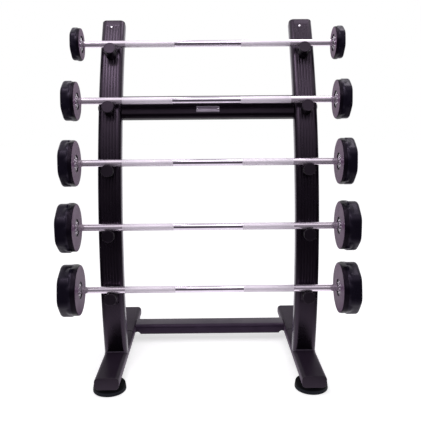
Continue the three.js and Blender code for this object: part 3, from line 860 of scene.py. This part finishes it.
def make_badge():
    front = TUBE_HEIGHT / 2 - POST_DEPTH / 2 + SEAT
    place = face_out(0, UPPER_BEAM_AT) @ Matrix.Translation((0, -BADGE_DROP, front))
    levels = [(0, 0), (BADGE_THICKNESS - BADGE_EDGE, 0)]
    levels += [(BADGE_THICKNESS - BADGE_EDGE_MIDDLE, BADGE_EDGE_MIDDLE), (BADGE_THICKNESS, BADGE_EDGE)]
    rings = [
        [place @ Vector((px, py, level)) for px, py in inset(BADGE_WIDTH, BADGE_HEIGHT, BADGE_CORNER, by)]
        for level, by in levels
    ]
    mesh = skins("badge_sheet", [rings])
    finish_piece("badge_sheet", mesh, [PLATE], "rack", ["badge_plate"])
    let_in, sunk = RIVET_FOOT
    profile = [(RIVET_RADIUS - let_in, -sunk), (RIVET_RADIUS, 0)] + dome(RIVET_RADIUS, RIVET_DOME)
    for side, direction in SIDES.items():
        across = direction * (BADGE_WIDTH / 2 - RIVET_INSET)
        spot = place @ Matrix.Translation((across, 0, BADGE_THICKNESS + SEAT))
        rings = turned(profile, spot, RIVET_STEPS)
        name = f"badge_stud_{side}"
        finish_piece(name, skins(name, [rings]), [POLISHED], "rack", [f"badge_rivet_{side}"])


def make_frame_bolt(beam, side, y, z):
    direction = SIDES[side]
    x = direction * (POST_SPACING / 2 + TUBE_WIDTH / 2 + SEAT)
    place = Matrix.Translation((x, y, z)) @ Matrix.Rotation(direction * math.pi / 2, 4, "Y")
    rings = moved(button_head(BOLT_RADIUS, BOLT_HEIGHT, BOLT_SOCKET), place)
    name = f"bolt_head_{beam}_{side}"
    mesh = skins(name, [rings])
    finish_piece(name, mesh, [OXIDE], "rack", [f"frame_bolt_{beam}_{side}"])


# Pegs


def make_peg(tier, side):
    x = SIDES[side] * POST_SPACING / 2
    place = face_out(x, tier_height(tier) - BAR_DROP)
    start, middle, end = PEG_THROAT_START, BAR_STANDOFF, PEG_LENGTH - PEG_LIP_THICKNESS
    rear, front = PEG_REAR_EDGE, PEG_FRONT_EDGE
    profile = [(PEG_BASE - PEG_BASE_EDGE, SEAT), (PEG_BASE, SEAT + PEG_BASE_EDGE)]
    profile += [(PEG_BASE, start - PEG_THROAT_LEAD)]
    for h in evenly(start, end, PEG_THROAT_STEPS):
        away = (h - middle) / (middle - start if h < middle else end - middle)
        rise = (PEG_BASE if h < middle else PEG_LIP - rear) - PEG_WAIST
        profile.append((PEG_WAIST + rise * abs(away) ** PEG_THROAT_CURVE, h))
    profile += quarter(PEG_LIP - rear, end + rear, rear, -90)[1:]
    profile += quarter(PEG_LIP - front, PEG_LENGTH - front, front, 0)
    rim, dish = PEG_LIP - PEG_RIM, PEG_LENGTH - PEG_DISH
    profile += [(rim, PEG_LENGTH), (rim - PEG_DISH_SLOPE, dish), (PEG_DISH_RADIUS, dish)]
    name = f"peg_spool_{tier}_{side}"
    mesh = skins(name, [turned(profile, place)])
    finish_piece(name, mesh, [PEG_PLASTIC], "rack", [f"peg_{tier}_{side}"])


# Barbells


def tier_height(tier):
    return FIRST_TIER + (TIERS - tier) * TIER_PITCH


def add_knurl_map(mesh):
    """A UV map in knurl pitches: round the bar and along it."""
    layer = mesh.uv_layers.new(name="knurl")
    round_count = round(2 * math.pi * GRIP_RADIUS / KNURL_PITCH)
    for face in mesh.polygons:
        angles = []
        for index in face.loop_indices:
            spot = mesh.vertices[mesh.loops[index].vertex_index].co
            angles.append(math.atan2(spot.z, spot.y) / (2 * math.pi))
        wraps = max(angles) - min(angles) > 0.5
        for index, angle in zip(face.loop_indices, angles):
            spot = mesh.vertices[mesh.loops[index].vertex_index].co
            share = angle + 1 if wraps and angle < 0 else angle
            layer.data[index].uv = (share * round_count, spot.x / MM / KNURL_PITCH)


def make_bar(tier, y, z):
    _, thickness, shift, _ = BARBELLS[tier - 1]
    outer = BAR_EXPOSED / 2 - GRIP_START
    inner = outer - GRIP_LENGTH
    end = BAR_EXPOSED / 2 + thickness - BAR_END_SETBACK
    right = [
        (BAR_RADIUS, inner - GRIP_EDGE),
        (GRIP_RADIUS, inner + GRIP_EDGE),
        (GRIP_RADIUS, outer - GRIP_EDGE),
        (BAR_RADIUS, outer + GRIP_EDGE),
        (BAR_RADIUS, end - BAR_END_EDGE),
        (BAR_RADIUS - BAR_END_EDGE, end),
    ]
    profile = [(r, -h) for r, h in reversed(right)] + right
    materials = [CHROME, KNURL, LIT_END_CHROME]
    # Band 2, the ends by the heads, takes the paler chrome: a painted light.
    bands = [2, 2, 0, 1, 0, 0, 0, 1, 0, 2, 2]
    name = f"bar_{tier}"
    mesh = skins(name, [(turned(profile, Matrix.Rotation(math.pi / 2, 4, "Y")), bands)])
    add_knurl_map(mesh)
    cad = [f"barbell_{tier}_bar"]
    finish_piece(name, mesh, materials, f"barbell_{tier}", cad, (shift, y, z))


def corner_rise(radius, angle, by=0):
    """How far a seven-sided outline with rounded corners stands out over its flat sides, at an angle
    from a corner, and the distance of those sides, with the outline moved in."""
    half = math.pi / HEAD_SIDES
    angle = abs((angle + half) % (2 * half) - half)
    corner = radius * HEAD_CORNER_SHARE - by
    reach = radius * (1 - HEAD_CORNER_SHARE)
    flat = corner + reach * math.cos(half)
    if angle < math.atan2(corner * math.sin(half), reach + corner * math.cos(half)):
        out = reach * math.cos(angle) + math.sqrt(max(corner**2 - (reach * math.sin(angle)) ** 2, 0))
    else:
        out = flat / math.cos(half - angle)
    return out - flat, flat


def head_ring(radius, height, by, inner, outer):
    """One ring of a head: the outlines of its two layers, half a step apart, each by its share."""
    half = math.pi / HEAD_SIDES
    ring = []
    for k in range(HEAD_SIDES * HEAD_STEPS):
        angle = 2 * half * k / HEAD_STEPS
        first, flat = corner_rise(radius, angle - half, by)
        second, _ = corner_rise(radius, angle, by)
        apart = first * inner - second * outer
        rise = (first * inner + second * outer + math.sqrt(apart**2 + LAYER_BLEND**2) - LAYER_BLEND) / 2
        ring.append(Vector(((flat + rise) * math.cos(angle), (flat + rise) * math.sin(angle), height)))
    return ring


def head_shell(radius, thickness):
    """The head about local Z, from its inner face at zero outward, and the material of each band."""
    count = HEAD_SIDES * HEAD_STEPS
    edge = radius * HEAD_EDGE_SHARE
    profile = [(HUB_RADIUS, HUB_RECESS + HUB_WALL_DROP), (HUB_RADIUS, HUB_EDGE), (HUB_RADIUS + HUB_EDGE, 0)]
    profile += [(radius * share, 0) for share in FACE_RING_SHARES]
    rings = turned(profile, Matrix.Identity(4), count)
    rings.append(head_ring(radius, 0, FACE_EDGE + FACE_EDGE_RING, ease(0, *INNER_RISE), 0))
    for k in range(FACE_EDGE_STEPS + 1):
        a = math.radians(90 * k / FACE_EDGE_STEPS)
        height = FACE_EDGE * (1 - math.cos(a))
        inner = ease(height / thickness, *INNER_RISE)
        rings.append(head_ring(radius, height, FACE_EDGE * (1 - math.sin(a)), inner, 0))
    # Band 2, the darker rubber next to the face, is painted shade.
    bands = [1] * (len(rings) - 4) + [2] * 3
    for k in range(1, HEAD_LEVELS):
        share = FACE_EDGE / thickness + k * (1 - (FACE_EDGE + edge) / thickness) / HEAD_LEVELS
        inner = ease(share, *INNER_RISE) * (1 - ease(share, *INNER_END))
        rings.append(head_ring(radius, thickness * share, 0, inner, ease(share, *OUTER_START)))
        bands.append(2 if share < SHADED_BAND_SHARE else 0)
    for k in range(HEAD_EDGE_STEPS + 1):
        a = math.radians(90 * k / HEAD_EDGE_STEPS)
        rings.append(head_ring(radius, thickness - edge * (1 - math.sin(a)), edge * (1 - math.cos(a)), 0, 1))
    for by, recess in zip(BACK_INSETS, (0, BACK_RECESS)):
        rings.append(head_ring(radius, thickness - recess, edge + by, 0, 1))
    bands += [0] * (len(rings) - 1 - len(bands))
    return rings, bands


def make_head(tier, side, y, z):
    radius, thickness, shift, roll = BARBELLS[tier - 1]
    direction = SIDES[side]
    at = (shift, y, z)
    place = (
        Matrix.Rotation(math.radians(roll), 4, "X")
        @ Matrix.Rotation(direction * math.pi / 2, 4, "Y")
        @ Matrix.Rotation(math.pi if direction < 0 else 0, 4, "Z")
        @ Matrix.Translation((0, 0, BAR_EXPOSED / 2))
    )
    name = f"head_{tier}_{side}"
    rings, bands = head_shell(radius, thickness)
    # The face takes the lighter rubber, a painted light.
    materials = [HEAD_RUBBER, LIT_FACE_RUBBER, SHADED_BAND_RUBBER]
    mesh = skins(name, [(moved(rings, place), bands)])
    cad = [f"barbell_{tier}_cover_{side}"]
    finish_piece(name, mesh, materials, f"barbell_{tier}", cad, at)
    make_hub(tier, side, place, at)


def make_hub(tier, side, place, at):
    """The plate in a head's recess, and the ring of domes on it."""
    body = f"barbell_{tier}"
    bore, rim = BAR_RADIUS + HUB_BORE_GAP, HUB_RADIUS - HUB_GAP
    front, back = HUB_RECESS, HUB_RECESS + HUB_PLATE_DEPTH
    across, down = HUB_BORE_BEVEL
    profile = [(bore, back), (bore, front + down), (bore + across, front)]
    across, down = HUB_RIM_BEVEL
    profile += [(rim - across, front), (rim, front + down), (rim, back)]
    name = f"hub_plate_{tier}_{side}"
    cad = [f"barbell_{tier}_core_{side}"]
    finish_piece(name, skins(name, [turned(profile, place)]), [IRON], body, cad, at)

    profile = [(DOME_RADIUS, -DOME_ROOT)] + dome(DOME_RADIUS, DOME_HEIGHT, DOME_RISE_STEPS)
    flip = Matrix.Rotation(math.pi, 4, "X")
    shells = []
    for index in range(DOME_COUNT):
        angle = 2 * math.pi * (index + 0.5) / DOME_COUNT
        spot = Matrix.Translation((DOME_RING * math.cos(angle), DOME_RING * math.sin(angle), HUB_RECESS))
        shells.append(turned(profile, place @ spot @ flip, DOME_STEPS))
    name = f"hub_studs_{tier}_{side}"
    finish_piece(name, skins(name, shells), [POLISHED], body, [], at)


def make_barbell(tier):
    y, z, _ = post_point(tier_height(tier), BAR_STANDOFF)
    make_bar(tier, y, z)
    for side in SIDES:
        make_head(tier, side, y, z)


for side in SIDES:
    make_leg(side)
    make_post(side)
    make_top_cap(side)
    make_cap_screw(side)
    for tier in range(1, TIERS + 1):
        make_peg(tier, side)
    y, z, _ = post_point(UPPER_BEAM_AT, -POST_DEPTH / 2)
    make_frame_bolt("upper", side, y, z)
    make_frame_bolt("lower", side, LOWER_BEAM_Y, LEG_MIDDLE)
make_lower_beam()
make_upper_beam()
make_badge()
for tier in range(1, TIERS + 1):
    make_barbell(tier)


# Stage

# The screen's rows in metres away from the middle and up, and how clear each is.
SCREEN_ROWS = [
    (0.55, 0.004, 1.0),
    (0.85, 0.004, 0.4),
    (1.2, 0.004, 0.0),
    (3.4, 0.004, 0.0),
    (3.5, 1.7, 0.0),
    (3.5, 2.4, 0.35),
    (3.5, 3.2, 0.75),
    (3.5, 4.4, 1.0),
]
SCREEN_COLUMNS = 48
# How far the screen goes round to each side and over how much of that it fades, in degrees
SCREEN_SWEEP = 125
SCREEN_END = 15
SCREEN_TONE = (0.095, 0.088, 0.10, 1)
FLOOR_REACH = 12
FLOOR_TONE = (0.82, 0.81, 0.83, 1)
# The floor's own light and the world's strength. The camera and glossy surfaces see the floor with
# that light and the world at a strength of one.
FLOOR_GLOW = 0.6
WORLD_LIGHT = 0.5
WHITE = (1, 1, 1, 1)

# Each lamp's name, place, aim and size in metres, and its power in watts.
LAMPS = [
    ("key", (-0.7, -0.95, 3.0), (-0.25, -0.1, 0.9), (0.8, 0.8), 13),
    ("front", (-0.1, -1.95, 3.0), (0, 0, 0.8), (1.8, 0.9), 11),
    ("side", (0.8, 0.3, 2.9), (0.3, 0, 0.9), (1.0, 1.0), 12),
]
LAMP_TONE = (1, 0.98, 1)

# The camera's place in metres, its angles in radians, its focal length in pixels of a square frame
# and that frame's width, and the width of its sensor in millimetres.
CAMERA_PLACE = (-0.0069, -2.2571, 1.0486)
CAMERA_TURN = -0.0062
CAMERA_DIP = 0.188
CAMERA_ROLL = -0.0083
FOCAL_PIXELS = 566.94
FRAME_PIXELS = 421
SENSOR_WIDTH = 36


def camera_or_mirror(tree):
    """One for a ray that comes straight from the camera, off a glossy surface or through glass."""
    path = node(tree, "ShaderNodeLightPath")
    total = path.outputs["Is Camera Ray"]
    for name in ("Is Glossy Ray", "Is Transmission Ray"):
        add = node(tree, "ShaderNodeMath", operation="MAXIMUM")
        tree.links.new(total, add.inputs[0])
        tree.links.new(path.outputs[name], add.inputs[1])
        total = add.outputs[0]
    return total


def make_world():
    world = bpy.data.worlds.new("studio")
    bpy.context.scene.world = world
    world.use_nodes = True
    tree = world.node_tree
    background = tree.nodes["Background"]
    seen = camera_or_mirror(tree)
    level = node(tree, "ShaderNodeMapRange")
    level.inputs["To Min"].default_value = WORLD_LIGHT
    level.inputs["To Max"].default_value = 1.0
    tree.links.new(seen, level.inputs["Value"])
    background.inputs["Color"].default_value = WHITE
    tree.links.new(level.outputs["Result"], background.inputs["Strength"])


def make_floor():
    material = bpy.data.materials.new("studio_floor")
    material.use_nodes = True
    tree = material.node_tree
    principled = tree.nodes["Principled BSDF"]
    principled.inputs["Base Color"].default_value = FLOOR_TONE
    principled.inputs["Roughness"].default_value = 0.9
    principled.inputs["Specular IOR Level"].default_value = 0.0
    principled.inputs["Emission Color"].default_value = WHITE
    glow = node(tree, "ShaderNodeMath", operation="MULTIPLY")
    glow.inputs[1].default_value = FLOOR_GLOW
    tree.links.new(camera_or_mirror(tree), glow.inputs[0])
    tree.links.new(glow.outputs[0], principled.inputs["Emission Strength"])
    mesh = bpy.data.meshes.new("studio_floor")
    corners = [(x * FLOOR_REACH, y * FLOOR_REACH, 0) for x, y in ((-1, -1), (1, -1), (1, 1), (-1, 1))]
    mesh.from_pydata(corners, [], [(0, 1, 2, 3)])
    mesh.materials.append(material)
    floor = bpy.data.objects.new("studio_floor", mesh)
    bpy.context.scene.collection.objects.link(floor)


def make_screen():
    """A dark screen on the floor and round the camera's side, which only reflections show."""
    material = bpy.data.materials.new("studio_screen")
    material.use_nodes = True
    tree = material.node_tree
    tree.nodes.remove(tree.nodes["Principled BSDF"])
    shade = node(tree, "ShaderNodeEmission", Color=SCREEN_TONE, Strength=1.0)
    clear = node(tree, "ShaderNodeBsdfTransparent")
    mixed = node(tree, "ShaderNodeMixShader")
    place = node(tree, "ShaderNodeUVMap", uv_map="clear")
    parts = node(tree, "ShaderNodeSeparateXYZ")
    tree.links.new(place.outputs["UV"], parts.inputs["Vector"])
    tree.links.new(parts.outputs["Y"], mixed.inputs["Fac"])
    tree.links.new(shade.outputs["Emission"], mixed.inputs[1])
    tree.links.new(clear.outputs["BSDF"], mixed.inputs[2])
    tree.links.new(mixed.outputs["Shader"], tree.nodes["Material Output"].inputs["Surface"])
    points, faces, clears = [], [], []
    for column in range(SCREEN_COLUMNS + 1):
        turn = SCREEN_SWEEP * (2 * column / SCREEN_COLUMNS - 1)
        ending = max((abs(turn) - SCREEN_SWEEP + SCREEN_END) / SCREEN_END, 0)
        angle = math.radians(turn)
        for away, height, row_clear in SCREEN_ROWS:
            points.append((away * math.sin(angle), -away * math.cos(angle), height))
            clears.append(max(row_clear, ending))
    count = len(SCREEN_ROWS)
    for column in range(SCREEN_COLUMNS):
        for row in range(count - 1):
            first = column * count + row
            faces.append((first, first + count, first + count + 1, first + 1))
    mesh = bpy.data.meshes.new("studio_screen")
    mesh.from_pydata(points, [], faces)
    layer = mesh.uv_layers.new(name="clear")
    for loop in mesh.loops:
        layer.data[loop.index].uv = (0, clears[loop.vertex_index])
    mesh.materials.append(material)
    screen = bpy.data.objects.new("studio_screen", mesh)
    bpy.context.scene.collection.objects.link(screen)
    for kind in ("camera", "diffuse", "transmission", "volume_scatter", "shadow"):
        setattr(screen, f"visible_{kind}", False)


def make_lamp(name, at, aim, size, watts):
    lamp = bpy.data.lights.new(name, "AREA")
    lamp.shape = "RECTANGLE"
    lamp.size, lamp.size_y = size
    lamp.energy = watts
    lamp.color = LAMP_TONE
    made = bpy.data.objects.new(name, lamp)
    bpy.context.scene.collection.objects.link(made)
    made.location = at
    made.rotation_euler = (Vector(aim) - Vector(at)).to_track_quat("-Z", "Y").to_euler()


def make_camera():
    """The camera of the photograph, as fitted to it."""
    data = bpy.data.cameras.new("photo_camera")
    data.sensor_fit = "HORIZONTAL"
    data.sensor_width = SENSOR_WIDTH
    data.lens = FOCAL_PIXELS / FRAME_PIXELS * SENSOR_WIDTH
    camera = bpy.data.objects.new("photo_camera", data)
    bpy.context.scene.collection.objects.link(camera)
    camera.matrix_world = (
        Matrix.Translation(CAMERA_PLACE)
        @ Matrix.Rotation(CAMERA_TURN, 4, "Z")
        @ Matrix.Rotation(math.pi / 2 - CAMERA_DIP, 4, "X")
        @ Matrix.Rotation(CAMERA_ROLL, 4, "Z")
    )
    bpy.context.scene.camera = camera


make_world()
make_floor()
make_screen()
for lamp in LAMPS:
    make_lamp(*lamp)
make_camera()
bpy.context.scene.view_settings.view_transform = "Standard"
